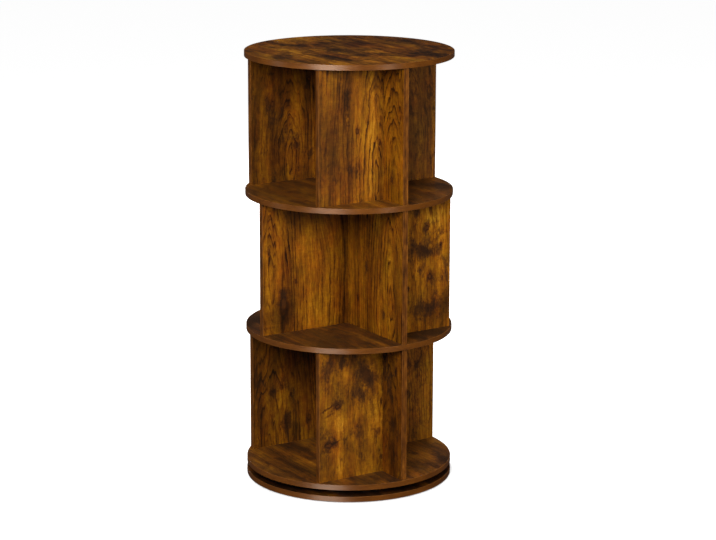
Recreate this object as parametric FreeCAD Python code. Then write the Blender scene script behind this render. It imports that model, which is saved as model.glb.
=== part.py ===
import FreeCAD, Part
import os
import math
from FreeCAD import Vector as V

# Round revolving bookcase: five equal round boards, three tiers of upright boards,
# a ring turntable between the floor disc and everything above it.
# Millimetres. +Z up, origin on the floor at the turning axis. +X runs along the fin
# boards of the bottom and top tier, Y along the spine boards.

os.makedirs("parts", exist_ok=True)

# ---------------------------------------------------------------- driving dimensions
DISC_D = 460.0          # round boards over their edge bands
BOARD_T = 12.0          # all boards
BAND_T = 1.0            # edge band on discs and on board ends
BAND_ROUND = 0.5        # rounding of the band's outer corners
PAD_H = 2.0             # foot pads
PAD_D = 28.0
PAD_COUNT = 8
PAD_PITCH_R = 204.0
GAP = 14.4              # slot between floor disc and bottom shelf, filled by the turntable
CLEAR_H = 295.0         # clear height of a tier, and height of the upright boards
END_R = 226.0           # how far spine and fin reach from the axis
SIDE_Y = 143.0          # middle plane of the side boards, from the axis
SIDE_X = 170.0          # how far the side boards reach from the axis

# ring turntable
BALL_R = 3.0
BALL_PITCH_R = 130.0
BALL_COUNT = 36
GROOVE_R = 3.3
RACE_GAP = 1.4          # half the gap between the races' walls
RACE_WEB = 6.0
RACE_FLANGE = 3.0
RACE_FLANGE_W = 12.6
RACE_AIR = 2.8          # air between a race and the board it turns against
CAGE_T = 1.4
CAGE_H = 6.4
RACE_SCREW_R = 144.0    # screws of the lower race
UPPER_SCREW_R = 116.0   # screws of the upper race
SCREW_SHANK_R = 1.7
SCREW_HEAD_R = 3.4
SCREW_HEAD_H = 2.0
SCREW_LEN = 12.0
ACCESS_D = 16.0         # hole in the floor disc, to reach the upper race's screws

# knock-down fittings
CAM_R = 7.4
CAM_HOLE_R = 7.5
CAM_DEPTH = 9.2
CAM_HOLE_DEPTH = 9.5
CAM_INSET = 24.0        # cam centre from the board's end
END_HOLE_R = 3.75       # hole in the board's end for the cam bolt
BOLT_R = 2.9
BOLT_HOLE_R = 3.0
BOLT_DEPTH = 8.6
BLIND_DEPTH = 9.0
NECK_R = 1.75
HEAD_R = 3.2
DOWEL_R = 2.95
DOWEL_HOLE_R = 3.05
DOWEL_IN_DISC = 8.6
DOWEL_IN_BOARD = 20.0
DOWEL_HOLE_IN_BOARD = 21.0
CROSS_IN_SPINE = 7.6
CROSS_HOLE_IN_SPINE = 8.0
CROSS_IN_BOARD = 18.0
CROSS_HOLE_IN_BOARD = 19.0
CROSS_INSET = 62.0      # cross dowels from the board's ends

SPINE_CAM_Y = (-95.0, 95.0)
SPINE_DOWEL_Y = (-190.0, 190.0)
FIN_CAM_X = (70.0, 170.0)
FIN_DOWEL_X = (30.0, 206.0)
SIDE_CAM_X = (88.0,)
SIDE_DOWEL_X = (30.0, 148.0)

# ---------------------------------------------------------------- heights
R = DISC_D / 2.0
Z_BASE = PAD_H
Z_BASE_TOP = Z_BASE + BOARD_T
Z_SHELF = [Z_BASE_TOP + GAP + i * (BOARD_T + CLEAR_H) for i in range(4)]   # undersides
H = BOARD_T / 2.0


# ---------------------------------------------------------------- helpers
def cyl(r, h, pos, axis=(0, 0, 1)):
    return Part.makeCylinder(r, h, V(*pos), V(*axis))


def box(x0, x1, y0, y1, z0, z1):
    return Part.makeBox(x1 - x0, y1 - y0, z1 - z0, V(x0, y0, z0))


def cut(shape, tools):
    return shape.cut(tools) if tools else shape


def revolve(points):
    wire = Part.makePolygon([V(r, 0, z) for r, z in points + points[:1]])
    return Part.Face(wire).revolve(V(0, 0, 0), V(0, 0, 1), 360)


def polar(r, deg, z):
    a = math.radians(deg)
    return (r * math.cos(a), r * math.sin(a), z)


def turned(shapes, deg):
    out = []
    for s in shapes:
        s = s.copy()
        s.rotate(V(0, 0, 0), V(0, 0, 1), deg)
        out.append(s)
    return out


def save(name, solids):
    if not isinstance(solids, (list, tuple)):
        solids = [solids]
    flat = []
    for s in solids:
        flat.extend(s.Solids)
    shape = flat[0] if len(flat) == 1 else Part.makeCompound(flat)
    bad = [i for i, s in enumerate(flat) if not s.isValid() or s.Volume <= 0]
    shape.exportStep("parts/%s.step" % name)
    b = shape.BoundBox
    print("%-36s solids %3d  vol %10.1f  x %.1f..%.1f y %.1f..%.1f z %.1f..%.1f%s" % (
        name, len(flat), sum(s.Volume for s in flat), b.XMin, b.XMax, b.YMin, b.YMax, b.ZMin, b.ZMax,
        "  BAD %s" % bad if bad else ""))


def edge_band(z0):
    # thin strip glued round the disc, its two outer corners rounded
    ri, ro, c, t = R - BAND_T + 0.02, R, BAND_ROUND, BOARD_T
    k = c * (1 - math.sqrt(0.5))
    p = [V(ri, 0, z0), V(ro - c, 0, z0), V(ro, 0, z0 + c), V(ro, 0, z0 + t - c), V(ro - c, 0, z0 + t), V(ri, 0, z0 + t)]
    e = [Part.makeLine(p[0], p[1]),
         Part.Arc(p[1], V(ro - k, 0, z0 + k), p[2]).toShape(),
         Part.makeLine(p[2], p[3]),
         Part.Arc(p[3], V(ro - k, 0, z0 + t - k), p[4]).toShape(),
         Part.makeLine(p[4], p[5]),
         Part.makeLine(p[5], p[0])]
    return Part.Face(Part.Wire(e)).revolve(V(0, 0, 0), V(0, 0, 1), 360)


def disc(z0, holes):
    return cut(cyl(R - BAND_T, BOARD_T, (0, 0, z0)), holes)


def cross_recess(x, y, z, up, size=2.6, depth=1.2, width=0.8):
    # cross slot in a screw head or cam, opening in the direction up (+1 or -1)
    z0, z1 = (z - depth, z + 0.5) if up > 0 else (z - 0.5, z + depth)
    a = box(x - size, x + size, y - width / 2, y + width / 2, z0, z1)
    b = box(x - width / 2, x + width / 2, y - size, y + size, z0, z1)
    return a.fuse(b)


def pan_screw(x, y, z_seat, up):
    # head outside the seat, shank running away from it; up = +1 when the head is on top
    s = -1 if up > 0 else 1
    shank = cyl(SCREW_SHANK_R, SCREW_LEN - 2.5, (x, y, z_seat), (0, 0, s))
    tip = Part.makeCone(SCREW_SHANK_R, 0.3, 2.5, V(x, y, z_seat + s * (SCREW_LEN - 2.5)), V(0, 0, s))
    head = cyl(SCREW_HEAD_R, SCREW_HEAD_H - 0.8, (x, y, z_seat), (0, 0, -s))
    dome = Part.makeCone(SCREW_HEAD_R, SCREW_HEAD_R - 1.0, 0.8, V(x, y, z_seat - s * (SCREW_HEAD_H - 0.8)), V(0, 0, -s))
    body = shank.fuse([tip, head, dome])
    return body.cut(cross_recess(x, y, z_seat - s * SCREW_HEAD_H, up)).removeSplitter()


# ---------------------------------------------------------------- cam fittings and dowels
def cam_lock(x, y, z, face, end):
    # face: unit vector out of the board face the cam sits in; (x, y) on the board's middle
    # plane; end = +1 when the joined disc is above, -1 when it is below
    f = V(*face)
    mouth = V(x, y, z) + f * H
    body = Part.makeCylinder(CAM_R, CAM_DEPTH, mouth - f * (CAM_DEPTH + 0.1), f)
    pocket = Part.makeCylinder(HEAD_R + 0.3, CAM_R + 3.0, V(x, y, z - end * 2.2), V(0, 0, end))
    body = body.cut(pocket)
    # cross slot and rim of the visible face
    w, l, d = 1.3, 4.6, 1.6
    side = V(0, 0, 1).cross(f)
    for a, b in ((side, V(0, 0, 1)), (V(0, 0, 1), side)):
        c0 = mouth - f * (d + 0.1)
        pts = [c0 + a * l + b * w / 2, c0 - a * l + b * w / 2, c0 - a * l - b * w / 2, c0 + a * l - b * w / 2]
        slot = Part.Face(Part.makePolygon(pts + pts[:1])).extrude(f * (d + 1.0))
        body = body.cut(slot)
    return body


def cam_hole(x, y, z, face, end):
    f = V(*face)
    mouth = V(x, y, z) + f * H
    hole = Part.makeCylinder(CAM_HOLE_R, CAM_HOLE_DEPTH + 1.0, mouth - f * CAM_HOLE_DEPTH, f)
    bore = Part.makeCylinder(END_HOLE_R, CAM_INSET + 1.0, V(x, y, z), V(0, 0, end))
    return [hole, bore]


def bolt_side(x, y, z_face, up):
    # the pin that stands out of a disc face into the cam
    s = 1 if up > 0 else -1
    shank = cyl(2.5, CAM_INSET - 4.0, (x, y, z_face), (0, 0, s))
    neck = cyl(NECK_R, 3.0, (x, y, z_face + s * (CAM_INSET - 4.0)), (0, 0, s))
    head = cyl(HEAD_R, 2.4, (x, y, z_face + s * (CAM_INSET - 1.6)), (0, 0, s))
    return [shank, neck, head]


def cam_bolt(x, y, z_face, up):
    s = 1 if up > 0 else -1
    root = cyl(BOLT_R, BOLT_DEPTH, (x, y, z_face - s * BOLT_DEPTH), (0, 0, s))
    return root.fuse(bolt_side(x, y, z_face, up))


def double_bolt(x, y, z0):
    root = cyl(BOLT_R, BOARD_T, (x, y, z0))
    return root.fuse(bolt_side(x, y, z0 + BOARD_T, 1) + bolt_side(x, y, z0, -1))


def dowel(p, axis, before, after):
    # a grooved beech pin with chamfered ends, running from p - axis*before to p + axis*after
    a = V(*axis)
    p0 = V(*p) - a * before
    n = before + after
    body = Part.makeCylinder(DOWEL_R, n - 1.6, p0 + a * 0.8, a)
    c0 = Part.makeCone(DOWEL_R - 0.8, DOWEL_R, 0.8, p0, a)
    c1 = Part.makeCone(DOWEL_R, DOWEL_R - 0.8, 0.8, p0 + a * (n - 0.8), a)
    return body.fuse([c0, c1]).removeSplitter()


# ---------------------------------------------------------------- layout of one tier
# Every board is listed in the bottom tier's pose; the middle tier is turned by 180 degrees.
# Cams sit on the +X face of spines and on the +Y face of fins and side boards, in every tier.
def tier_layout(turn):
    s = -1.0 if turn else 1.0
    lay = {"spine": {"box": (-H, H, -END_R + BAND_T, END_R - BAND_T),
                     "bands": [(-H, H, -END_R, -END_R + BAND_T), (-H, H, END_R - BAND_T, END_R)],
                     "cams": [(0.0, y) for y in SPINE_CAM_Y], "dowels": [(0.0, y) for y in SPINE_DOWEL_Y],
                     "face": (1, 0, 0)}}

    def along(x0, x1):
        return (x0, x1) if s > 0 else (-x1, -x0)
    a, b = along(H, END_R - BAND_T)
    c, d = along(END_R - BAND_T, END_R)
    lay["fin"] = {"box": (a, b, -H, H), "bands": [(c, d, -H, H)],
                  "cams": [(s * x, 0.0) for x in FIN_CAM_X], "dowels": [(s * x, 0.0) for x in FIN_DOWEL_X],
                  "face": (0, 1, 0), "root": s * H}
    for name, y in (("front_side_board", -SIDE_Y), ("rear_side_board", SIDE_Y)):
        a, b = along(-SIDE_X + BAND_T, -H)
        c, d = along(-SIDE_X, -SIDE_X + BAND_T)
        lay[name] = {"box": (a, b, y - H, y + H), "bands": [(c, d, y - H, y + H)],
                     "cams": [(-s * x, y) for x in SIDE_CAM_X], "dowels": [(-s * x, y) for x in SIDE_DOWEL_X],
                     "face": (0, 1, 0), "root": -s * H}
    return lay


TIERS = [("bottom_tier", 0, tier_layout(False)), ("middle_tier", 1, tier_layout(True)), ("top_tier", 2, tier_layout(False))]
BOARD_NAMES = {"spine": "spine_board", "fin": "fin_board", "front_side_board": "front_side_board", "rear_side_board": "rear_side_board"}

disc_holes = {0: [], 1: [], 2: [], 3: []}       # tools cut from the four turning discs
bolts = {0: [], 1: [], 2: [], 3: []}            # single-ended bolts by disc
doubles = {1: [], 2: []}
dowels = {0: [], 1: [], 2: [], 3: []}

for tier, i, lay in TIERS:
    z0 = Z_SHELF[i] + BOARD_T
    z1 = z0 + CLEAR_H
    cams, bands, cross = [], [], []
    spine_tools = []
    for key, b in lay.items():
        tools = []
        x0, x1, y0, y1 = b["box"]
        for bx in b["bands"]:
            bands.append(box(bx[0], bx[1], bx[2], bx[3], z0, z1))
        for x, y in b["cams"]:
            cams.append(cam_lock(x, y, z1 - CAM_INSET, b["face"], 1))
            cams.append(cam_lock(x, y, z0 + CAM_INSET, b["face"], -1))
            tools += cam_hole(x, y, z1 - CAM_INSET, b["face"], 1) + cam_hole(x, y, z0 + CAM_INSET, b["face"], -1)
            for disc_i, zf, up in ((i, z0, 1), (i + 1, z1, -1)):
                if key == "spine" and disc_i in doubles:
                    if up < 0:
                        doubles[disc_i].append(double_bolt(x, y, Z_SHELF[disc_i]))
                        disc_holes[disc_i].append(cyl(BOLT_HOLE_R, BOARD_T + 2, (x, y, Z_SHELF[disc_i] - 1)))
                else:
                    bolts[disc_i].append(cam_bolt(x, y, zf, up))
                    disc_holes[disc_i].append(cyl(BOLT_HOLE_R, BLIND_DEPTH + 1, (x, y, zf + up * 1.0), (0, 0, -up)))
        for x, y in b["dowels"]:
            for disc_i, zf, up in ((i, z0, 1), (i + 1, z1, -1)):
                tools.append(cyl(DOWEL_HOLE_R, DOWEL_HOLE_IN_BOARD + 1, (x, y, zf - up * 1.0), (0, 0, up)))
                if key == "spine" and disc_i in doubles:
                    if up < 0:
                        dowels[disc_i].append(dowel((x, y, Z_SHELF[disc_i] + H), (0, 0, 1), H + DOWEL_IN_BOARD, H + DOWEL_IN_BOARD))
                        disc_holes[disc_i].append(cyl(DOWEL_HOLE_R, BOARD_T + 2, (x, y, Z_SHELF[disc_i] - 1)))
                else:
                    dowels[disc_i].append(dowel((x, y, zf), (0, 0, up), DOWEL_IN_DISC, DOWEL_IN_BOARD))
                    disc_holes[disc_i].append(cyl(DOWEL_HOLE_R, BLIND_DEPTH + 1, (x, y, zf + up * 1.0), (0, 0, -up)))
        if key != "spine":
            # cross dowels between this board's inner end and the spine's face
            xr = b["root"]
            out = 1 if xr > 0 else -1
            ym = (y0 + y1) / 2.0
            for zc in (z0 + CROSS_INSET, z1 - CROSS_INSET):
                cross.append(dowel((xr, ym, zc), (out, 0, 0), CROSS_IN_SPINE, CROSS_IN_BOARD))
                tools.append(cyl(DOWEL_HOLE_R, CROSS_HOLE_IN_BOARD + 1, (xr - out, ym, zc), (out, 0, 0)))
                spine_tools.append(cyl(DOWEL_HOLE_R, CROSS_HOLE_IN_SPINE + 1, (xr + out, ym, zc), (-out, 0, 0)))
        b["tools"] = tools
    lay["spine"]["tools"] += spine_tools
    for key, b in lay.items():
        x0, x1, y0, y1 = b["box"]
        save("%s_%s" % (tier, BOARD_NAMES[key]), cut(box(x0, x1, y0, y1, z0, z1), b["tools"]))
    save("%s_end_bands" % tier, bands)
    save("%s_cam_locks" % tier, cams)
    save("%s_cross_dowels" % tier, cross)

# ---------------------------------------------------------------- ring turntable
zb = Z_BASE_TOP + GAP / 2.0                      # ball centres
groove = Part.makeTorus(BALL_PITCH_R, GROOVE_R, V(0, 0, zb), V(0, 0, 1))
lo_in = BALL_PITCH_R + RACE_GAP
lower_race = revolve([(lo_in, Z_BASE_TOP), (lo_in + RACE_WEB + RACE_FLANGE_W, Z_BASE_TOP),
                      (lo_in + RACE_WEB + RACE_FLANGE_W, Z_BASE_TOP + RACE_FLANGE),
                      (lo_in + RACE_WEB, Z_BASE_TOP + RACE_FLANGE),
                      (lo_in + RACE_WEB, Z_BASE_TOP + GAP - RACE_AIR), (lo_in, Z_BASE_TOP + GAP - RACE_AIR)]).cut(groove)
up_out = BALL_PITCH_R - RACE_GAP
ZU = Z_SHELF[0]
upper_race = revolve([(up_out, ZU), (up_out - RACE_WEB - RACE_FLANGE_W, ZU),
                      (up_out - RACE_WEB - RACE_FLANGE_W, ZU - RACE_FLANGE),
                      (up_out - RACE_WEB, ZU - RACE_FLANGE),
                      (up_out - RACE_WEB, ZU - GAP + RACE_AIR), (up_out, ZU - GAP + RACE_AIR)]).cut(groove)

lower_screw_deg = [0, 90, 180, 270]
upper_screw_deg = [45, 135, 225, 315]
lower_screws, upper_screws, base_holes = [], [], []
for a in lower_screw_deg:
    x, y, _ = polar(RACE_SCREW_R, a, 0)
    lower_race = lower_race.cut(cyl(2.1, RACE_FLANGE + 2, (x, y, Z_BASE_TOP - 1)))
    base_holes.append(cyl(SCREW_SHANK_R + 0.05, SCREW_LEN - RACE_FLANGE + 0.5 + 1, (x, y, Z_BASE_TOP - (SCREW_LEN - RACE_FLANGE + 0.5))))
    lower_screws.append(pan_screw(x, y, Z_BASE_TOP + RACE_FLANGE, 1))
for a in upper_screw_deg:
    x, y, _ = polar(UPPER_SCREW_R, a, 0)
    upper_race = upper_race.cut(cyl(2.1, RACE_FLANGE + 2, (x, y, ZU - RACE_FLANGE - 1)))
    disc_holes[0].append(cyl(SCREW_SHANK_R + 0.05, SCREW_LEN - RACE_FLANGE + 0.5 + 1, (x, y, ZU - 1)))
    upper_screws.append(pan_screw(x, y, ZU - RACE_FLANGE, -1))

balls = [Part.makeSphere(BALL_R, V(*polar(BALL_PITCH_R, 360.0 * k / BALL_COUNT, zb))) for k in range(BALL_COUNT)]
cage = cyl(BALL_PITCH_R + CAGE_T / 2, CAGE_H, (0, 0, zb - CAGE_H / 2)).cut(cyl(BALL_PITCH_R - CAGE_T / 2, CAGE_H + 2, (0, 0, zb - CAGE_H / 2 - 1)))
# open-topped pockets let the balls snap into the cage from above
pockets = []
for k in range(BALL_COUNT):
    a = 360.0 * k / BALL_COUNT
    x, y, _ = polar(BALL_PITCH_R - 5, a, 0)
    d = polar(1, a, 0)
    pockets.append(Part.makeCylinder(BALL_R + 0.12, 10, V(x, y, zb), V(*d)))
    slit = box(BALL_PITCH_R - 5, BALL_PITCH_R + 5, -1.9, 1.9, zb, zb + CAGE_H)
    slit.rotate(V(0, 0, 0), V(0, 0, 1), a)
    pockets.append(slit)
cage = cage.cut(pockets)

# ---------------------------------------------------------------- floor disc, pads
x, y, _ = polar(UPPER_SCREW_R, upper_screw_deg[0], 0)
base_holes.append(cyl(ACCESS_D / 2, BOARD_T + 2, (x, y, Z_BASE - 1)))
pads = []
for k in range(PAD_COUNT):
    px, py, _ = polar(PAD_PITCH_R, (k + 0.5) * 360.0 / PAD_COUNT, 0)
    pads.append(cyl(PAD_D / 2, PAD_H, (px, py, 0)))

save("base_disc", disc(Z_BASE, base_holes))
save("base_disc_edge_band", edge_band(Z_BASE))
save("foot_pads", pads)
save("turntable_lower_race", lower_race)
save("turntable_lower_race_screws", lower_screws)
save("turntable_balls", balls)
save("turntable_ball_cage", cage)
save("turntable_upper_race", upper_race)
save("turntable_upper_race_screws", upper_screws)

# ---------------------------------------------------------------- turning discs
for i, name in enumerate(("bottom_shelf", "lower_middle_shelf", "upper_middle_shelf", "top_board")):
    save(name, disc(Z_SHELF[i], disc_holes[i]))
    save(name + "_edge_band", edge_band(Z_SHELF[i]))
    save(name + "_cam_bolts", bolts[i])
    save(name + "_dowels", dowels[i])
    if i in doubles:
        save(name + "_double_bolts", doubles[i])

print("total height", Z_SHELF[3] + BOARD_T)
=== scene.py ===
import math
import random

import bpy
from mathutils import Euler, Matrix, Vector


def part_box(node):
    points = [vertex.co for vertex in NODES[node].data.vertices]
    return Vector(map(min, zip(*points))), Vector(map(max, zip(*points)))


# Round revolving bookcase: looks around the fixed frame.
# Row frame in metres: +Z up, origin on the floor at the turning axis, +X along the fin
# boards of the bottom and top tier, Y along the spine boards.

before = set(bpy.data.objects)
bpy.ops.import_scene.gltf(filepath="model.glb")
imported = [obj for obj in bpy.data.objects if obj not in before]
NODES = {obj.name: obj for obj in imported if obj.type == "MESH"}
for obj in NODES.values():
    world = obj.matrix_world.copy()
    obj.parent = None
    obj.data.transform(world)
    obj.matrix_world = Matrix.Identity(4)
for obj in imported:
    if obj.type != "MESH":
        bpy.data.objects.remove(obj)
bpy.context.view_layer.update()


# ---------------------------------------------------------------- small helpers
def lin(r, g, b):
    """Display colour 0..255 to linear light."""
    out = []
    for c in (r, g, b):
        c /= 255.0
        out.append(c / 12.92 if c <= 0.04045 else ((c + 0.055) / 1.055) ** 2.4)
    return (*out, 1.0)


class Net:
    """A material's node tree, written as expressions."""

    def __init__(self, name):
        self.mat = bpy.data.materials.new(name)
        self.mat.use_nodes = True
        self.tree = self.mat.node_tree
        self.tree.nodes.clear()
        self.count = 0

    def node(self, kind, **props):
        n = self.tree.nodes.new(kind)
        n.location = (180 * (self.count % 12), -220 * (self.count // 12))
        self.count += 1
        for key, value in props.items():
            setattr(n, key, value)
        return n

    def put(self, socket, value):
        if isinstance(value, bpy.types.NodeSocket):
            self.tree.links.new(value, socket)
        elif value is not None:
            socket.default_value = value

    def math(self, op, *args, clamp=False):
        n = self.node("ShaderNodeMath", operation=op, use_clamp=clamp)
        for i, v in enumerate(args):
            self.put(n.inputs[i], v)
        return n.outputs[0]

    def add(self, a, b):
        return self.math("ADD", a, b)

    def sub(self, a, b):
        return self.math("SUBTRACT", a, b)

    def mul(self, a, b):
        return self.math("MULTIPLY", a, b)

    def mad(self, a, b, c):
        return self.math("MULTIPLY_ADD", a, b, c)

    def vmath(self, op, *args):
        n = self.node("ShaderNodeVectorMath", operation=op)
        for i, v in enumerate(args):
            self.put(n.inputs[i], v)
        return n.outputs["Value"] if op in ("DOT_PRODUCT", "LENGTH", "DISTANCE") else n.outputs[0]

    def vec(self, x, y, z):
        n = self.node("ShaderNodeCombineXYZ")
        for i, v in enumerate((x, y, z)):
            self.put(n.inputs[i], v)
        return n.outputs[0]

    def split(self, v):
        n = self.node("ShaderNodeSeparateXYZ")
        self.put(n.inputs[0], v)
        return n.outputs[0], n.outputs[1], n.outputs[2]

    def noise(self, v, scale=(1.0, 1.0, 1.0), detail=2.0, rough=0.5, warp=0.0, colour=False):
        n = self.node("ShaderNodeTexNoise", noise_dimensions="3D")
        self.put(n.inputs["Vector"], self.vmath("MULTIPLY", v, scale))
        n.inputs["Scale"].default_value = 1.0
        n.inputs["Detail"].default_value = detail
        n.inputs["Roughness"].default_value = rough
        n.inputs["Distortion"].default_value = warp
        return n.outputs["Color"] if colour else n.outputs["Fac"]

    def step(self, x, lo, hi, a=0.0, b=1.0):
        n = self.node("ShaderNodeMapRange", interpolation_type="SMOOTHSTEP")
        for key, v in zip(("Value", "From Min", "From Max", "To Min", "To Max"), (x, lo, hi, a, b)):
            self.put(n.inputs[key], v)
        return n.outputs["Result"]

    def ramp(self, x, stops, soft=False):
        n = self.node("ShaderNodeValToRGB")
        r = n.color_ramp
        r.interpolation = "EASE" if soft else "LINEAR"
        while len(r.elements) < len(stops):
            r.elements.new(0.5)
        for e, (p, c) in zip(r.elements, stops):
            e.position = p
            e.color = c if hasattr(c, "__len__") else (c, c, c, 1.0)
        self.put(n.inputs[0], x)
        return n.outputs[0]

    def mix(self, fac, a, b, blend="MIX"):
        n = self.node("ShaderNodeMix", data_type="RGBA", blend_type=blend, clamp_factor=True)
        self.put(n.inputs[0], fac)
        self.put(n.inputs[6], a)
        self.put(n.inputs[7], b)
        return n.outputs[2]

    def grey(self, x):
        """A number as a colour, for multiplying."""
        n = self.node("ShaderNodeCombineColor")
        for i in range(3):
            self.put(n.inputs[i], x)
        return n.outputs[0]

    def bump(self, height, distance, strength):
        n = self.node("ShaderNodeBump")
        n.inputs["Strength"].default_value = strength
        n.inputs["Distance"].default_value = distance
        self.put(n.inputs["Height"], height)
        return n.outputs[0]

    def surface(self, colour, rough, normal=None, metal=0.0, specular=0.5, tint=(1.0, 1.0, 1.0, 1.0)):
        p = self.node("ShaderNodeBsdfPrincipled")
        self.put(p.inputs["Base Color"], colour)
        self.put(p.inputs["Roughness"], rough)
        p.inputs["Metallic"].default_value = metal
        p.inputs["Specular IOR Level"].default_value = specular
        p.inputs["Specular Tint"].default_value = tint
        if normal is not None:
            self.put(p.inputs["Normal"], normal)
        out = self.node("ShaderNodeOutputMaterial")
        self.tree.links.new(p.outputs[0], out.inputs[0])
        return self.mat

    def place(self):
        """Object coordinates, the row frame in metres at rest."""
        return self.node("ShaderNodeTexCoord").outputs["Object"]


# ---------------------------------------------------------------- the boards' woodgrain
# Numbers in centimetres: A runs across the grain, W along it. side is 0 on the face
# towards lower coordinates and 1 on the other, and each face has its own figure.
WOOD = [
    (0.00, lin(26, 12, 5)),
    (0.20, lin(56, 27, 7)),
    (0.40, lin(90, 48, 9)),
    (0.58, lin(120, 68, 11)),
    (0.76, lin(149, 90, 14)),
    (1.00, lin(188, 124, 32)),
]
# the print drifts between reddish and olive brown
HUE = [
    (0.28, (1.10, 0.84, 0.80, 1.0)),
    (0.42, (1.02, 0.97, 0.84, 1.0)),
    (0.56, (0.97, 1.08, 0.84, 1.0)),
    (0.74, (0.90, 1.20, 0.92, 1.0)),
]
WARM = (1.0, 0.84, 0.68, 1.0)
AXES = {"x": 0, "y": 1, "z": 2}


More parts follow.
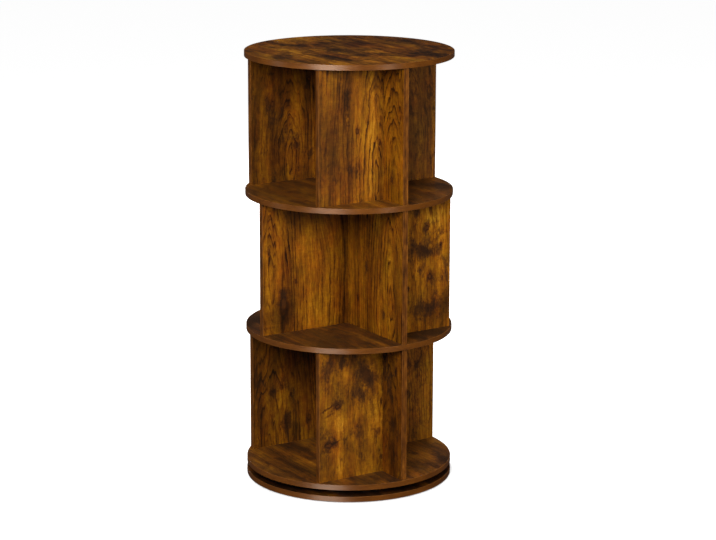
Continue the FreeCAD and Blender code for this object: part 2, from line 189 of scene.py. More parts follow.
def wood(name, across, along, thick, mid, seed, knots, zones, centre, depth, slope, ring=0.85,
         tone=0.0, dirt=0.0, line=1.0, pale=0.0, patchy=1.0, rough=0.42, gloss=0.12, marks=(), grain=1.0):
    """knots: for each, (A, W on side 0, A, W on side 1, half width, half length, core, halo darkness); on the shelves
    some are painted shade patches.
    zones: for each, (A, W on side 0, A, W on side 1, half width, half length, tone).
    marks: slanting dark streaks on side 0, (A, W, half length, half width, degrees, depth).
    grain: strength of the fine grain."""
    g = Net(name)
    parts = g.split(g.place())
    a = g.mul(parts[AXES[across]], 100.0)
    w = g.mul(parts[AXES[along]], 100.0)
    side = g.math("GREATER_THAN", parts[AXES[thick]], mid)
    layer = g.mad(side, 7.31, seed * 3.17 + 0.37)
    p = g.vec(a, w, layer)

    # slow drift of the grain, and its small kinks
    drift = g.noise(p, (0.11, 0.022, 1.0), 1.0, 0.5)
    sway = g.noise(p, (0.55, 0.13, 1.0), 2.0, 0.5)
    kink = g.noise(p, (1.1, 0.62, 1.0), 2.0, 0.55)
    s = g.add(a, g.add(g.mad(drift, 4.0, -2.0), g.add(g.mad(sway, 0.70, -0.35), g.mad(kink, 0.44, -0.22))))

    # knots: the grain flows round them, smoke lies about them
    jitter = g.vmath("MULTIPLY", g.vmath("SUBTRACT", g.noise(p, (1.9, 1.2, 1.0), 3.0, 0.65, colour=True),
                                         (0.5, 0.5, 0.5)), (0.90, 1.10, 0.0))
    q = g.vmath("ADD", g.vec(a, w, 0.0), jitter)
    side3 = g.vec(side, side, 0.0)

    def offset(a0, w0, a1, w1, ra, rw):
        off = g.vmath("MULTIPLY_ADD", side3, (-(a1 - a0) / ra, -(w1 - w0) / rw, 0.0), (-a0 / ra, -w0 / rw, 0.0))
        return g.vmath("MULTIPLY_ADD", q, (1.0 / ra, 1.0 / rw, 0.0), off)

    shift, smoke_and_shade, core, ringed, heart = None, None, None, None, None
    for a0, w0, a1, w1, ra, rw, dark, halo in knots:
        d = offset(a0, w0, a1, w1, ra, rw)
        d2 = g.vmath("DOT_PRODUCT", d, d)
        near = g.math("DIVIDE", 1.0, g.add(d2, 1.0))
        da = g.split(d)[0]
        near2 = g.mul(near, halo)
        smoke_and_shade = near2 if smoke_and_shade is None else g.add(smoke_and_shade, near2)
        if not dark:
            continue
        push = g.mul(g.mul(da, near), ra * 0.9)
        k = g.step(d2, 1.05, 0.40, 0.0, dark)
        shift = push if shift is None else g.add(shift, push)
        core = k if core is None else g.math("MAXIMUM", core, k)
        if dark > 0.3:
            e = g.step(d2, 4.0, 1.0, 0.0, dark)
            ringed = e if ringed is None else g.math("MAXIMUM", ringed, e)
        if ra > 0.45:
            e = g.step(d2, 0.42, 0.08)
            heart = e if heart is None else g.math("MAXIMUM", heart, e)
    s = g.sub(s, shift)
    sw = g.vec(s, w, layer)
    zone = None
    for a0, w0, a1, w1, ra, rw, amount in zones:
        d = offset(a0, w0, a1, w1, ra, rw)
        near = g.math("DIVIDE", 1.0, g.add(g.vmath("DOT_PRODUCT", d, d), 1.0))
        near = g.mul(g.mul(near, near), amount)
        zone = near if zone is None else g.add(zone, near)

    # growth rings cut flat: arches in the middle, straight lines beside them
    belly = g.noise(p, (0.20, 0.06, 1.0), 2.0, 0.5)
    deep = g.add(g.mad(w, slope, depth - slope * WMID[name]), g.mad(belly, 2.4, -1.2))
    off_c = g.sub(s, g.mad(side, centre[1] - centre[0], centre[0]))
    r = g.math("SQRT", g.add(g.mul(off_c, off_c), g.mul(deep, deep)))
    uneven = g.noise(sw, (0.50, 0.030, 1.0), 2.0, 0.6)
    r = g.add(g.mul(r, 1.0 / ring), g.mul(uneven, 2.4))
    broad = g.ramp(g.math("FRACT", r), [(0.0, 0.0), (0.54, 0.0), (0.80, 0.36), (0.90, 1.0), (0.97, 0.85), (1.0, 0.0)])
    thin = g.ramp(g.math("FRACT", g.mad(r, 2.3, 0.3)), [(0.0, 0.0), (0.58, 0.0), (0.86, 1.0), (1.0, 0.0)])
    where = g.step(g.noise(sw, (0.26, 0.050, 1.0), 3.0, 0.6), 0.38, 0.60, 0.15, 1.0)
    where2 = g.step(g.noise(sw, (0.60, 0.085, 2.0), 2.0, 0.6), 0.38, 0.62, 0.1, 1.0)
    late = g.add(g.mul(g.mul(broad, where), 0.80), g.mul(g.mul(thin, where2), 0.36))
    if zone is not None:
        late = g.mul(late, g.math("MAXIMUM", g.mad(zone, 2.6, 1.0), 0.25))

    # tone along the grain, fibres, pores
    stave = g.noise(sw, (0.30, 0.016, 1.0), 2.0, 0.5)
    stripe = g.noise(sw, (1.25, 0.070, 1.0), 3.0, 0.6)
    cloud = g.noise(p, (0.16, 0.085, 1.0), 3.0, 0.6)
    fibre = g.noise(sw, (7.0, 0.32, 1.0), 4.0, 0.66)
    hair = g.noise(sw, (28.0, 1.0, 1.0), 2.0, 0.6)
    pore = g.step(g.noise(sw, (15.0, 1.25, 1.0), 2.0, 0.5), 0.60, 0.68)
    crack = g.step(g.noise(sw, (3.4, 0.16, 4.0), 2.0, 0.55), 0.655, 0.70)
    blotch = g.noise(p, (0.36, 0.19, 1.0), 4.0, 0.64, 0.35)
    speck = g.noise(p, (2.6, 1.25, 1.0), 5.0, 0.70)
    mott = g.noise(p, (1.05, 0.60, 3.0), 4.0, 0.66)
    saw = g.mul(g.sub(g.noise(p, (0.45, 2.6, 2.0), 4.0, 0.65), 0.5), g.step(cloud, 0.42, 0.62, 0.25, 1.0))

    # Halo darkening of knots, blotches and dirt; on the shelves it also carries the painted shade patches, which
    # darken the colour below.
    smoke_and_shade = g.add(g.add(blotch, smoke_and_shade), dirt)
    smoky_and_shaded = g.step(g.mad(speck, 0.50, smoke_and_shade), 0.83, 1.05)
    burn_and_shade = g.step(g.mad(speck, 0.85, smoke_and_shade), 1.16, 1.38)

    v = g.mad(stave, 0.95, 0.135 + tone)
    v = g.add(v, g.mad(stripe, 0.50 * grain, -0.25 * grain))
    v = g.add(v, g.mad(cloud, 0.55 * patchy, -0.275 * patchy))
    v = g.add(v, g.mad(mott, 0.42 * patchy, -0.21 * patchy))
    fine = g.mad(fibre, 0.56 * grain, -0.28 * grain)
    if zone is not None:
        fine = g.mul(fine, g.math("MAXIMUM", g.mad(zone, 2.4, 1.0), 0.45))
    v = g.add(v, fine)
    v = g.add(v, g.mad(hair, 0.26 * grain, -0.13 * grain))
    v = g.add(v, g.mad(saw, 0.26, 0.02))
    if zone is not None:
        v = g.add(v, zone)
    v = g.sub(v, g.mul(late, 0.50 * line))
    v = g.sub(v, g.mul(smoky_and_shaded, 0.20))
    v = g.sub(v, g.mul(crack, 0.16))
    for am, wm, half, thin_, slant, amount in marks:
        ca, sa = math.cos(math.radians(slant)), math.sin(math.radians(slant))
        u = g.sub(g.vmath("DOT_PRODUCT", q, (ca / half, sa / half, 0.0)), (am * ca + wm * sa) / half)
        t = g.sub(g.vmath("DOT_PRODUCT", q, (-sa / thin_, ca / thin_, 0.0)), (wm * ca - am * sa) / thin_)
        mark = g.step(g.add(g.mul(u, u), g.mul(t, t)), 1.3, 0.2, 0.0, amount)
        v = g.sub(v, g.mul(mark, g.sub(1.0, side)))
    hue = g.add(g.mad(g.noise(p, (0.24, 0.11, 6.0), 3.0, 0.6), 0.66, 0.02), g.mul(g.noise(p, (1.5, 0.75, 9.0), 3.0, 0.6), 0.30))
    if ringed is not None:
        v = g.sub(v, g.mul(ringed, 0.12))
        hue = g.sub(hue, g.mul(ringed, 0.12))
    colour = g.mix(1.0, g.ramp(v, WOOD), g.ramp(hue, HUE), "MULTIPLY")
    # pale mixes the colour toward a grey-brown; on the shelves it is a painted sheen, the greying of a glancing
    # reflection
    if pale:
        colour = g.mix(pale, colour, lin(92, 70, 50))
    colour = g.mix(g.mul(smoky_and_shaded, 0.42), colour, lin(58, 36, 19))
    colour = g.mix(g.mul(burn_and_shade, 0.70), colour, lin(36, 20, 12))
    colour = g.mix(g.mul(pore, 0.45), colour, lin(36, 19, 6))
    rim_light = g.step(g.noise(q, (3.2, 1.8, 1.0), 2.0, 0.6), 0.35, 0.7)
    knot = g.mix(rim_light, lin(20, 10, 6), lin(54, 28, 12))
    if heart is not None:
        knot = g.mix(g.mul(heart, 0.75), knot, lin(92, 50, 17))
    colour = g.mix(core, colour, knot)

    rr = g.add(g.mad(fibre, 0.16, rough - 0.08), g.mul(smoky_and_shaded, 0.05))
    rr = g.add(rr, g.mul(pore, 0.12))
    h = g.add(g.mul(fibre, 0.55), g.mul(hair, 0.30))
    h = g.sub(h, g.add(g.mul(pore, 0.60), g.mul(late, 0.30)))
    h = g.sub(h, g.add(g.mul(core, 0.45), g.mul(crack, 0.40)))
    return g.surface(colour, rr, g.bump(h, 0.00022, 0.6), specular=gloss, tint=WARM)


WMID = {}


def random_knots(rnd, a_range, w_range, count):
    """Scattered knots of a face pair: (A0, W0, A1, W1, ra, rw, core, smoke)."""
    out = []
    for i in range(count):
        small = i % 2
        ra = rnd.uniform(0.28, 0.5) if small else rnd.uniform(0.55, 0.95)
        out.append((rnd.uniform(*a_range), rnd.uniform(*w_range), rnd.uniform(*a_range), rnd.uniform(*w_range),
                    ra, ra * rnd.uniform(1.3, 2.2), rnd.uniform(0.55, 0.95) if small else rnd.uniform(0.15, 0.6),
                    rnd.uniform(0.10, 0.22) if small else rnd.uniform(0.22, 0.42)))
    return out


# The figure of the faces that a viewer at the front sees first is placed one by one:
# (A, W) of each knot on the face towards lower coordinates.
PLACED = {
    "top_tier_front_side_board": [(-9.7, 83.7, 0.50, 1.0, 0.20, 0.20), (-7.4, 81.0, 0.5, 0.9, 0.8, 0.2),
                                  (-1.6, 77.8, 0.35, 0.6, 0.75, 0.12), (-8.9, 73.0, 0.9, 2.6, 0.0, 0.26),
                                  (-7.5, 89.8, 0.6, 0.9, 0.3, 0.2)],
    "top_tier_spine_board": [(-18.0, 70.3, 0.5, 0.8, 0.6, 0.2), (-19.4, 77.5, 0.3, 0.7, 0.5, 0.1)],
    "middle_tier_fin_board": [(-21.0, 53.1, 0.32, 0.7, 0.7, 0.16), (-14.2, 45.9, 0.4, 0.6, 0.7, 0.12),
                              (-17.3, 41.4, 1.0, 2.2, 0.4, 0.3), (-5.0, 61.0, 0.8, 1.4, 0.2, 0.2)],
    "middle_tier_spine_board": [(-18.8, 42.2, 0.28, 0.6, 0.5, 0.1), (-7.5, 58.9, 0.5, 1.2, 0.4, 0.2)],
    "middle_tier_front_side_board": [(10.8, 57.8, 0.5, 0.75, 0.92, 0.23), (10.9, 52.3, 2.1, 1.0, 0.0, 0.36),
                                     (11.6, 46.8, 0.5, 0.95, 0.85, 0.22), (14.5, 53.8, 0.35, 0.6, 0.8, 0.2),
                                     (6.0, 44.6, 0.35, 0.6, 0.7, 0.16), (12.0, 39.6, 3.0, 1.7, 0.0, 0.32),
                                     (8.3, 53.9, 1.3, 1.3, 0.0, 0.26), (7.8, 61.8, 1.4, 1.0, 0.0, 0.18)],
    "bottom_tier_front_side_board": [(-4.9, 26.6, 1.5, 2.4, 0.15, 0.44), (-1.0, 20.3, 0.4, 1.0, 0.5, 0.2),
                                     (-12.3, 20.6, 0.75, 0.6, 0.75, 0.26), (-14.6, 12.2, 1.35, 0.65, 0.65, 0.34),
                                     (-10.4, 12.9, 0.6, 0.4, 0.3, 0.14), (-11.2, 30.4, 1.2, 1.2, 0.0, 0.26)],
    "bottom_tier_spine_board": [(-19.1, 16.1, 0.4, 0.7, 0.7, 0.2), (-17.5, 24.5, 0.8, 1.8, 0.3, 0.3)],
}
# Zones of the same faces: (A, W, half width, half length, tone). Some are painted shade and some painted light, as
# marked.
ZONES = {
    "top_tier_front_side_board": [(-15.2, 80.0, 4.6, 16.0, -0.30), (-9.6, 85.0, 1.1, 8.0, -0.22),
                                  (-8.4, 71.0, 1.8, 7.0, -0.20), (-3.7, 78.0, 3.0, 17.0, 0.29),
                                  # the last zone, just under the top board, is painted shade
                                  (-17.2, 80.0, 1.7, 18.0, -0.32), (-8.0, 90.5, 6.0, 4.5, -0.14)],
    # the last two zones even out the light across the niche: painted shade along the front edge, painted light near
    # the inner corner
    "top_tier_spine_board": [(-18.8, 80.0, 3.0, 14.0, 0.00), (-8.0, 85.0, 4.0, 8.0, -0.20), (-22.6, 80.0, 1.3, 18.0, -0.26), (-16.4, 80.0, 1.8, 16.0, 0.17)],
    "middle_tier_fin_board": [(-20.5, 49.0, 2.6, 10.0, 0.10), (-16.2, 52.0, 1.8, 7.0, 0.12), (-17.4, 39.0, 3.0, 5.0, -0.44), (-20.6, 38.0, 2.4, 5.0, -0.18),
                              # both zones on this line, just under the upper middle shelf, are painted shade
                              (-13.5, 61.0, 4.0, 4.5, -0.16), (-7.0, 62.0, 5.0, 4.0, -0.16)],
    # the second zone lightens the top of the board where the shelf above shades it: painted light
    "middle_tier_spine_board": [(-18.8, 48.0, 2.8, 12.0, 0.02), (-12.0, 61.0, 6.0, 4.0, 0.28)],
    "middle_tier_front_side_board": [(12.5, 60.0, 4.0, 4.0, 0.44), (8.2, 49.0, 1.6, 4.0, 0.18), (14.2, 46.4, 2.4, 4.5, -0.16),
                                     (13.0, 38.6, 4.6, 4.0, -0.32), (16.4, 41.0, 2.8, 4.5, -0.34)],
    "bottom_tier_front_side_board": [(-11.5, 17.3, 2.4, 3.6, 0.26), (-6.2, 20.0, 2.6, 4.4, 0.24), (-12.0, 7.0, 2.8, 4.0, 0.26),
                                     (-10.5, 27.5, 1.5, 3.0, 0.16), (-3.4, 24.0, 2.0, 4.0, -0.22),
                                     # the last zone, just under the shelf above, is painted shade
                                     (-16.9, 17.0, 1.4, 16.0, -0.16), (-11.0, 30.5, 7.0, 3.0, -0.16)],
    # the last two zones: painted light near the inner corner, painted shade along the front edge
    "bottom_tier_spine_board": [(-18.5, 12.0, 3.0, 6.0, -0.10), (-16.2, 22.0, 1.9, 14.0, 0.17), (-22.4, 22.0, 1.4, 16.0, -0.26)],
    "bottom_tier_fin_board": [(9.0, 26.0, 3.0, 5.0, 0.05)],
    # both rear side boards: a darker strip at the outer end, painted shade deep in the compartment
    "top_tier_rear_side_board": [(-17.2, 79.0, 1.9, 18.0, -0.20)],
    "bottom_tier_rear_side_board": [(-17.4, 18.0, 1.9, 18.0, -0.20)],
}
# Slanting dark streaks of the same faces: (A, W, half length, half width, degrees, depth).
MARKS = {
    "bottom_tier_front_side_board": [(-14.9, 20.5, 2.0, 0.28, 24.0, 0.34), (-14.4, 19.0, 1.6, 0.24, 20.0, 0.18),
                                     (-12.9, 12.6, 1.5, 0.30, 16.0, 0.26), (-14.8, 10.9, 1.4, 0.5, -8.0, 0.16)],
    "middle_tier_front_side_board": [(9.6, 53.2, 3.4, 0.7, -24.0, 0.16)],
    "top_tier_front_side_board": [(-9.9, 88.0, 2.6, 0.40, 90.0, 0.22), (-9.8, 84.7, 0.6, 0.32, 0.0, 0.16),
                                  (-9.7, 83.6, 0.5, 0.45, 0.0, -0.24), (-9.7, 82.4, 0.6, 0.32, 0.0, 0.18),
                                  (-7.6, 72.3, 2.0, 0.38, 90.0, 0.16)],
}
# board: seed, arch centre on both faces, depth, slope, ring width, tone, dirt, line, pale
FIGURE = {
    "bottom_tier_spine_board": (3, (-16.5, 5.0), 3.0, 0.16, 0.95, -0.13, 0.04, 1.0, 0.0),
    "bottom_tier_fin_board": (14, (9.0, 16.0), 2.0, 0.22, 0.80, 0.00, 0.06, 0.9, 0.06),
    "bottom_tier_front_side_board": (21, (-6.0, -11.0), 1.5, 0.16, 1.05, -0.02, 0.045, 0.5, 0.04),
    "bottom_tier_rear_side_board": (8, (-12.0, -4.0), 3.5, 0.20, 0.85, -0.10, 0.02, 1.0, 0.05),
    "middle_tier_spine_board": (33, (-17.8, 8.0), 1.4, 0.20, 0.95, -0.09, -0.08, 1.2, 0.0),
    "middle_tier_fin_board": (27, (-20.2, -10.0), 0.6, 0.24, 1.10, -0.03, -0.06, 1.30, 0.0),
    "middle_tier_front_side_board": (41, (4.0, 10.0), 4.5, 0.10, 1.10, -0.05, 0.06, 0.7, 0.0),
    "middle_tier_rear_side_board": (36, (8.0, 3.0), 2.2, 0.18, 0.90, -0.02, 0.00, 1.0, 0.0),
    "top_tier_spine_board": (52, (-19.0, 10.0), 2.5, 0.20, 0.80, 0.02, -0.06, 1.1, 0.0),
    "top_tier_fin_board": (47, (12.0, 6.0), 3.0, 0.20, 0.90, -0.04, 0.05, 0.9, 0.16),
    "top_tier_front_side_board": (64, (-2.6, -8.0), 1.6, 0.15, 0.90, -0.01, -0.03, 1.2, 0.06),
    # the low tone of the top rear side board is painted shade
    "top_tier_rear_side_board": (58, (-7.0, -12.0), 2.4, 0.22, 0.85, -0.15, 0.02, 1.0, 0.06),
}
# boards with a cloudier, softer print: patchy, grain
SOFT = {"bottom_tier_front_side_board": (1.40, 0.72)}
for name, (seed, centre, depth, slope, ring, tone, dirt, line, pale) in FIGURE.items():
    lo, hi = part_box(name)
    mid = (lo + hi) / 2
    across, thick = ("y", "x") if "spine" in name else ("x", "y")
    a_range = (lo[AXES[across]] * 100 + 1.0, hi[AXES[across]] * 100 - 1.0)
    w_range = (lo.z * 100 + 2.0, hi.z * 100 - 2.0)
    WMID[name] = mid.z * 100
    rnd = random.Random(seed)
    rest = random_knots(rnd, a_range, w_range, 7 if "spine" in name else 5)
    knots = []
    for i, k in enumerate(rest):
        placed = PLACED.get(name, [])
        if i < len(placed):
            a0, w0, ra, rw, dark, halo = placed[i]
            knots.append((a0, w0, k[2], k[3], ra, rw, dark, halo))
        else:
            knots.append(k)
    for a0, w0, ra, rw, dark, halo in PLACED.get(name, [])[len(rest):]:
        knots.append((a0, w0, rnd.uniform(*a_range), rnd.uniform(*w_range), ra, rw, dark, halo))
    zones = [(a0, w0, rnd.uniform(*a_range), rnd.uniform(*w_range), ra, rw, amount)
             for a0, w0, ra, rw, amount in ZONES.get(name, [])]
    while len(zones) < 3:
        zones.append((rnd.uniform(*a_range), rnd.uniform(*w_range), rnd.uniform(*a_range), rnd.uniform(*w_range),
                      rnd.uniform(1.5, 3.5), rnd.uniform(4.0, 10.0), rnd.uniform(-0.18, 0.18)))
    m = wood(name, across, "z", thick, mid[AXES[thick]], seed, knots, zones, centre, depth, slope, ring, tone,
             dirt, line, pale, SOFT.get(name, (1.0, 1.0))[0], marks=MARKS.get(name, ()),
             grain=SOFT.get(name, (1.0, 1.0))[1])
    NODES[name].data.materials.clear()
    NODES[name].data.materials.append(m)

# Dark patches (x, y, half x, half y, amount) and zones (x, y, half x, half y, tone) on the upper face of a disc: dark
# clouds of the print on the top board; on the shelves partly painted shade, as marked.
DISC_SMOKE_AND_SHADE = {
    "top_board": [(-1.0, 17.0, 2.0, 4.0, 0.10), (-8.6, 15.2, 1.8, 3.4, 0.16), (-18.6, -1.8, 2.0, 3.4, 0.24),
                  (-2.4, 0.6, 2.2, 4.0, 0.26), (-10.4, -8.6, 1.4, 3.2, 0.20), (1.0, -10.4, 1.8, 3.6, 0.22),
                  (12.6, -12.0, 1.6, 2.8, 0.24), (18.0, 4.0, 2.4, 4.4, 0.17), (15.5, -5.0, 2.0, 4.0, 0.12), (4.0, 11.4, 1.6, 3.0, 0.16)],
    # second patch: painted shade at the right front; first patch: a dark grey-brown patch at the left
    "lower_middle_shelf": [(-17.4, 12.4, 3.6, 3.6, 0.50), (9.0, -17.0, 2.4, 3.6, 0.20)],
    # painted shade and reflection at the right front
    "upper_middle_shelf": [(17.8, -11.9, 2.8, 3.6, 0.26)],
    # painted shadow and reflection at the right front
    "bottom_shelf": [(15.0, -16.5, 2.2, 3.2, 0.26)],
}
DISC_ZONES = {
    "top_board": [(-12.6, 8.1, 2.0, 4.4, 0.17), (-13.6, -5.0, 1.8, 4.4, 0.17), (3.4, -17.0, 1.8, 4.0, 0.18),
                  (2.6, -5.2, 1.6, 3.4, 0.14), (2.0, 20.0, 6.0, 5.0, 0.22)],
    # painted shade: a darker zone at the right front of the lower middle shelf
    "lower_middle_shelf": [(9.5, -17.0, 6.0, 4.0, -0.42)],
    # painted shadow: a darker zone at the right front of the bottom shelf
    "bottom_shelf": [(12.0, -16.0, 5.0, 4.0, -0.24)],
}
# disc: seed, arch centre on both faces, depth, slope, ring width, tone, dirt, line, patchy
DISCS = {
    # base_disc's low tone darkens its top face, seen only in the slot under the bottom shelf: painted shade
    "base_disc": (71, (2.0, -5.0), 3.0, 0.05, 1.0, -0.50, 0.06, 0.5, 1.35),
    "bottom_shelf": (83, (-4.0, 6.0), 4.0, 0.06, 0.95, -0.17, 0.05, 0.8, 1.45),
    "lower_middle_shelf": (95, (5.0, -8.0), 3.0, 0.08, 0.90, -0.26, 0.05, 0.8, 1.45),
    "upper_middle_shelf": (102, (-9.0, 3.0), 2.0, 0.07, 0.95, -0.14, 0.05, 0.8, 1.45),
    "top_board": (118, (0.0, 4.0), 3.0, 0.06, 1.00, -0.12, 0.03, 0.6, 1.85),
}
for name, (seed, centre, depth, slope, ring, tone, dirt, line, patchy) in DISCS.items():
    lo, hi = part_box(name)
    WMID[name] = 0.0
    rnd = random.Random(seed)
    knots = random_knots(rnd, (-20.0, 20.0), (-20.0, 20.0), 8)
    # the disc patches go in as knots without a core; on the shelves their halo darkening is painted shade where
    # marked above
    for x0, y0, rx, ry, amount in DISC_SMOKE_AND_SHADE.get(name, []):
        knots.append((rnd.uniform(-18, 18), rnd.uniform(-18, 18), x0, y0, rx, ry, 0.0, amount))
    zones = [(rnd.uniform(-18, 18), rnd.uniform(-18, 18), rnd.uniform(-18, 18), rnd.uniform(-18, 18),
              rnd.uniform(1.8, 3.6), rnd.uniform(3.5, 7.0), rnd.choice((-0.22, 0.16, 0.22))) for i in range(4)]
    for x0, y0, rx, ry, amount in DISC_ZONES.get(name, []):
        zones.append((rnd.uniform(-18, 18), rnd.uniform(-18, 18), x0, y0, rx, ry, amount))
    # the shelves get pale 0.15: a painted sheen
    m = wood(name, "x", "y", "z", (lo.z + hi.z) / 2, seed, knots, zones, centre, depth, slope, ring, tone,
             dirt, line, 0.15 if "shelf" in name else 0.0, patchy, rough=0.34, gloss=0.15)
    NODES[name].data.materials.clear()
    NODES[name].data.materials.append(m)


# ---------------------------------------------------------------- edge banding
BAND = [
    (0.0, lin(50, 25, 5)),
    (0.35, lin(82, 43, 8)),
    (0.65, lin(109, 61, 12)),
    (1.0, lin(142, 86, 24)),
]


def banding(name, run, level, corner, seed, tone=0.0, grain=0.0):
    """run and level: coordinates along and across the strip in cm; corner: 0 inside, 1 on its corners."""
    g = Net(name)
    x, y, z = g.split(g.place())
    x, y, z = g.mul(x, 100.0), g.mul(y, 100.0), g.mul(z, 100.0)
    t, c = run(g, x, y, z), level(g, x, y, z)
    p = g.vec(t, c, seed * 1.7)
    streak = g.noise(p, (0.9, 14.0, 1.0), 4.0, 0.6)
    fine = g.noise(p, (2.6, 48.0, 1.0), 2.0, 0.55)
    cloud = g.noise(p, (0.22, 0.8, 1.0), 3.0, 0.55)
    tick = g.step(g.noise(p, (3.0, 22.0, 1.0), 2.0, 0.5), 0.66, 0.76)
    v = g.mad(streak, 0.75, 0.10 + tone)
    v = g.add(v, g.mad(fine, 0.28, -0.14))
    v = g.add(v, g.mad(cloud, 0.50, -0.25))
    if grain:
        v = g.add(v, g.mul(g.sub(g.noise(p, (0.11, 3.2, 2.0), 3.0, 0.6), 0.5), 1.10 * grain))
        v = g.add(v, g.mul(g.sub(g.noise(p, (0.50, 1.1, 3.0), 3.0, 0.6), 0.5), 0.70 * grain))
    colour = g.ramp(v, BAND)
    colour = g.mix(g.mul(tick, 0.45), colour, lin(52, 27, 13))
    worn = g.mul(corner(g, x, y, z), g.step(g.noise(p, (0.7, 3.0, 1.0), 4.0, 0.7), 0.40, 0.66, 0.25, 1.0))
    colour = g.mix(g.mul(worn, 0.40), colour, lin(170, 110, 54))
    rr = g.add(g.mad(streak, 0.10, 0.26), g.mul(worn, 0.14))
    h = g.sub(g.add(g.mul(streak, 0.5), g.mul(fine, 0.3)), g.mul(tick, 0.5))
    return g.surface(colour, rr, g.bump(h, 0.00012, 0.4), specular=0.50, tint=WARM)


for name in NODES:
    if name.endswith("_edge_band"):
        lo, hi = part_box(name)
        zm = (lo.z + hi.z) * 50

        def run(g, x, y, z):
            return g.mul(g.math("ARCTAN2", y, x), 23.0)

        def level(g, x, y, z):
            return g.add(z, g.mul(g.math("SQRT", g.add(g.mul(x, x), g.mul(y, y))), 1.0))

        def corner(g, x, y, z, zm=zm):
            return g.step(g.math("ABSOLUTE", g.sub(z, zm)), 0.545, 0.585)

        m = banding(name, run, level, corner, len(name) + zm)
        NODES[name].data.materials.clear()
        NODES[name].data.materials.append(m)
    elif name.endswith("_end_bands"):
        lo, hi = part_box(name)

        def run(g, x, y, z):
            return z

        def level(g, x, y, z):
            return g.add(g.mul(x, 1.0), g.mul(y, 1.0))

        def corner(g, x, y, z):
            ax, ay = g.math("ABSOLUTE", x), g.math("ABSOLUTE", y)
            on_spine = g.math("GREATER_THAN", ay, 20.0)
            on_fin = g.math("GREATER_THAN", ax, 20.0)
            off = g.math("ABSOLUTE", g.sub(ay, g.mul(g.sub(1.0, on_fin), 14.3)))
            off = g.add(g.mul(on_spine, ax), g.mul(g.sub(1.0, on_spine), off))
            return g.step(off, 0.545, 0.59)

        m = banding(name, run, level, corner, len(name) + lo.z * 37, 0.0, 1.5)
        NODES[name].data.materials.clear()
        NODES[name].data.materials.append(m)


# ---------------------------------------------------------------- turntable and fittings
def turned_metal(name, base, rough, seed):
    g = Net(name)
    pos = g.place()
    x, y, z = g.split(pos)
    rad = g.math("SQRT", g.add(g.mul(x, x), g.mul(y, y)))
    p = g.vec(g.mul(rad, 1000.0), g.mul(z, 1000.0), seed)
    lines = g.noise(p, (3.2, 3.2, 1.0), 3.0, 0.7)
    stain = g.noise(pos, (34.0, 34.0, 34.0), 4.0, 0.6)
    dull = g.noise(pos, (260.0, 260.0, 260.0), 3.0, 0.6)
    colour = g.mix(g.step(stain, 0.35, 0.7), base, tuple(c * 0.78 for c in base[:3]) + (1.0,))
    colour = g.mix(g.mul(dull, 0.22), colour, lin(120, 118, 112))
    rr = g.add(g.mad(lines, 0.22, rough - 0.1), g.mul(stain, 0.10))
    return g.surface(colour, rr, g.bump(lines, 0.00006, 0.5), metal=0.80)


def cast_metal(name, base, dark, rough, grain, seed, metal):
    g = Net(name)
    pos = g.vmath("ADD", g.place(), (seed * 0.37, seed * 0.11, 0.0))
    fine = g.noise(pos, (grain, grain, grain), 3.0, 0.6)
    patch = g.noise(pos, (90.0, 90.0, 90.0), 4.0, 0.6)
    scratch = g.step(g.noise(pos, (420.0, 2400.0, 700.0), 2.0, 0.5), 0.62, 0.70)
    colour = g.mix(g.step(patch, 0.38, 0.68), base, dark)
    colour = g.mix(g.mul(fine, 0.30), colour, dark)
    colour = g.mix(g.mul(scratch, 0.35), colour, lin(212, 212, 208))
    rr = g.add(g.mad(fine, 0.20, rough - 0.1), g.mul(patch, 0.12))
    return g.surface(colour, rr, g.bump(g.add(fine, g.mul(scratch, -0.4)), 0.00008, 0.45), metal=metal)


def foam(name):
    g = Net(name)
    pos = g.place()
    cells = g.node("ShaderNodeTexVoronoi", feature="F1")
    cells.inputs["Scale"].default_value = 1500.0
    g.put(cells.inputs["Vector"], pos)
    fine = g.noise(pos, (900.0, 900.0, 900.0), 3.0, 0.6)
    dust = g.noise(pos, (60.0, 60.0, 60.0), 4.0, 0.6)
    colour = g.mix(cells.outputs["Distance"], lin(24, 24, 25), lin(58, 57, 55))
    colour = g.mix(g.step(dust, 0.5, 0.75, 0.0, 0.35), colour, lin(112, 106, 98))
    rr = g.mad(fine, 0.18, 0.74)
    return g.surface(colour, rr, g.bump(g.add(cells.outputs["Distance"], fine), 0.0002, 0.6), specular=0.3)


def nylon(name):
    g = Net(name)
    pos = g.place()
    fine = g.noise(pos, (1400.0, 1400.0, 1400.0), 2.0, 0.5)
    cloud = g.noise(pos, (45.0, 45.0, 120.0), 3.0, 0.55)
    colour = g.mix(cloud, lin(214, 208, 190), lin(236, 233, 222))
    colour = g.mix(g.step(g.noise(pos, (120.0, 120.0, 120.0), 4.0, 0.7), 0.58, 0.78, 0.0, 0.5), colour, lin(128, 118, 98))
    return g.surface(colour, g.mad(fine, 0.15, 0.38), g.bump(fine, 0.00005, 0.4), specular=0.5)


def beech(name, along):
    g = Net(name)
    pos = g.place()
    k = [2600.0, 2600.0, 2600.0]
    k[AXES[along]] = 90.0
    fibre = g.noise(pos, tuple(k), 3.0, 0.6)
    k2 = [420.0, 420.0, 420.0]
    k2[AXES[along]] = 26.0
    band = g.noise(pos, tuple(k2), 3.0, 0.6)
    fleck = g.step(g.noise(pos, tuple(v * 0.6 for v in k), 2.0, 0.5), 0.63, 0.72)
    colour = g.ramp(g.add(g.mad(fibre, 0.6, -0.1), g.mul(band, 0.5)),
                    [(0.0, lin(150, 110, 74)), (0.5, lin(196, 155, 112)), (1.0, lin(224, 190, 150))])
    colour = g.mix(g.mul(fleck, 0.6), colour, lin(128, 82, 48))
    return g.surface(colour, g.mad(fibre, 0.2, 0.55), g.bump(fibre, 0.0001, 0.6), specular=0.3)


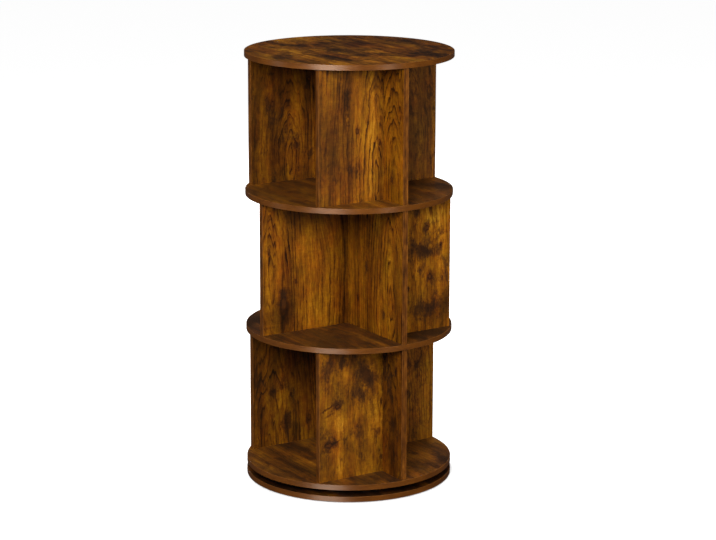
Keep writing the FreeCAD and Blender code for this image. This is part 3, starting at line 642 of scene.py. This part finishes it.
def dress(node, material):
    NODES[node].data.materials.clear()
    NODES[node].data.materials.append(material)


race = turned_metal("race_aluminium", lin(196, 197, 199), 0.36, 1.0)
race_up = turned_metal("race_aluminium_upper", lin(192, 193, 196), 0.36, 5.0)
screw = cast_metal("zinc_screw", lin(198, 196, 182), lin(134, 134, 128), 0.34, 900.0, 1.0, 0.75)
ball = cast_metal("bearing_ball", lin(206, 207, 210), lin(168, 170, 174), 0.16, 1300.0, 2.0, 1.0)
cam = cast_metal("cam_zinc", lin(170, 168, 162), lin(116, 114, 109), 0.42, 1600.0, 3.0, 0.60)
bolt = cast_metal("bolt_steel", lin(186, 187, 188), lin(128, 130, 134), 0.34, 1100.0, 4.0, 0.75)
dress("turntable_lower_race", race)
dress("turntable_upper_race", race_up)
dress("turntable_lower_race_screws", screw)
dress("turntable_upper_race_screws", screw)
dress("turntable_balls", ball)
dress("turntable_ball_cage", nylon("cage_nylon"))
dress("foot_pads", foam("pad_foam"))
upright, level_pin = beech("beech_dowel", "z"), beech("beech_dowel_level", "x")
for name in NODES:
    if name.endswith("_cam_locks"):
        dress(name, cam)
    elif name.endswith("_cam_bolts") or name.endswith("_double_bolts"):
        dress(name, bolt)
    elif name.endswith("_cross_dowels"):
        dress(name, level_pin)
    elif name.endswith("_dowels"):
        dress(name, upright)


# ---------------------------------------------------------------- stage, light, camera
def plane(name, size):
    mesh = bpy.data.meshes.new(name)
    mesh.from_pydata([(-size, -size, 0), (size, -size, 0), (size, size, 0), (-size, size, 0)], [], [(0, 1, 2, 3)])
    o = bpy.data.objects.new(name, mesh)
    bpy.context.scene.collection.objects.link(o)
    return o


floor = plane("floor", 60.0)
g = Net("floor_white")
p = g.node("ShaderNodeBsdfPrincipled")
g.put(p.inputs["Base Color"], g.mix(g.noise(g.place(), (0.8, 0.8, 0.8), 2.0, 0.5), (0.80, 0.80, 0.80, 1), (0.83, 0.83, 0.83, 1)))
p.inputs["Roughness"].default_value = 0.9
p.inputs["Specular IOR Level"].default_value = 0.0
p.inputs["Emission Color"].default_value = (1, 1, 1, 1)
# Emission Strength falls from 0.80 to 0.30 within 0.225 to 0.262 m of the axis: a painted contact shadow round the
# base, dimmer than the even floor, which also lets the real shadow there show.
fx, fy, fz = g.split(g.place())
reach = g.math("SQRT", g.add(g.mul(fx, fx), g.mul(fy, fy)))
g.put(p.inputs["Emission Strength"], g.step(reach, 0.225, 0.262, 0.30, 0.80))
g.tree.links.new(p.outputs[0], g.node("ShaderNodeOutputMaterial").inputs[0])
floor.data.materials.append(g.mat)
floor.visible_diffuse = floor.visible_glossy = floor.visible_shadow = False

AIM = Vector((0.0, 0.0, 0.5))


def softbox(name, azimuth, distance, height, width, tall, power, aim=AIM):
    a = math.radians(azimuth)
    light = bpy.data.lights.new(name, "AREA")
    light.shape = "RECTANGLE"
    light.size, light.size_y = width, tall
    light.energy = power
    o = bpy.data.objects.new(name, light)
    o.location = (math.sin(a) * distance, -math.cos(a) * distance, height)
    o.rotation_mode = "QUATERNION"
    o.rotation_quaternion = (Vector(o.location) - aim).to_track_quat("Z", "Y")
    o.visible_camera = False
    bpy.context.scene.collection.objects.link(o)
    return o


def unseen(o):
    """Lights a surface without showing in its gloss."""
    o.visible_glossy = False
    return o


unseen(softbox("key", -45.0, 3.3, 2.25, 1.5, 1.5, 152.0))
strip = softbox("strip", -54.0, 2.9, 0.95, 1.5, 1.2, 64.0)
strip.visible_diffuse = False
low = softbox("strip_low", -54.0, 2.9, -0.86, 1.6, 1.1, 33.0, Vector((0.0, 0.0, -0.86)))
low.visible_diffuse = False
softbox("fill_left", -113.0, 3.2, 0.9, 0.35, 1.8, 4.5)
softbox("fill_right", 9.0, 3.4, 0.9, 0.6, 1.8, 14.0)
unseen(softbox("front_right", 12.0, 3.4, 1.7, 1.2, 1.6, 35.0))
unseen(softbox("back_right", 122.0, 3.4, 1.8, 1.4, 1.6, 80.0))
unseen(softbox("back_left", 172.0, 3.4, 1.8, 1.4, 1.6, 84.0))

world = bpy.data.worlds.new("studio")
bpy.context.scene.world = world
world.use_nodes = True
t = world.node_tree
t.nodes.clear()
path = t.nodes.new("ShaderNodeLightPath")
room, seen, mixed = (t.nodes.new("ShaderNodeBackground"), t.nodes.new("ShaderNodeBackground"),
                     t.nodes.new("ShaderNodeMixShader"))
glossy = t.nodes.new("ShaderNodeBackground")
inner = t.nodes.new("ShaderNodeMixShader")
end = t.nodes.new("ShaderNodeOutputWorld")
room.inputs[0].default_value, room.inputs[1].default_value = (1, 1, 1, 1), 0.20
glossy.inputs[0].default_value, glossy.inputs[1].default_value = (1, 1, 1, 1), 0.04
seen.inputs[0].default_value, seen.inputs[1].default_value = (1, 1, 1, 1), 1.0
t.links.new(path.outputs["Is Glossy Ray"], inner.inputs[0])
t.links.new(room.outputs[0], inner.inputs[1])
t.links.new(glossy.outputs[0], inner.inputs[2])
t.links.new(path.outputs["Is Camera Ray"], mixed.inputs[0])
t.links.new(inner.outputs[0], mixed.inputs[1])
t.links.new(seen.outputs[0], mixed.inputs[2])
t.links.new(mixed.outputs[0], end.inputs[0])

scene = bpy.context.scene
scene.view_settings.view_transform = "Standard"
scene.view_settings.look = "None"
scene.view_settings.exposure = 0.0
scene.view_settings.gamma = 1.0

data = bpy.data.cameras.new("camera")
data.lens, data.sensor_width, data.sensor_fit = 117.9076, 36.0, "HORIZONTAL"
data.shift_x, data.shift_y = 0.0, -0.05
data.clip_start, data.clip_end = 0.05, 200.0
camera = bpy.data.objects.new("camera", data)
bpy.context.scene.collection.objects.link(camera)
pitch = math.radians(12.667)
look = Vector((0.5373 * math.cos(pitch), 0.8434 * math.cos(pitch), -math.sin(pitch)))
turn = look.to_track_quat("-Z", "Y").to_matrix() @ Matrix.Rotation(math.radians(0.139), 3, "Z")
camera.rotation_mode = "QUATERNION"
camera.rotation_quaternion = turn.to_quaternion()
camera.location = (-2.713465, -4.296301, 1.690248)
bpy.context.scene.camera = camera
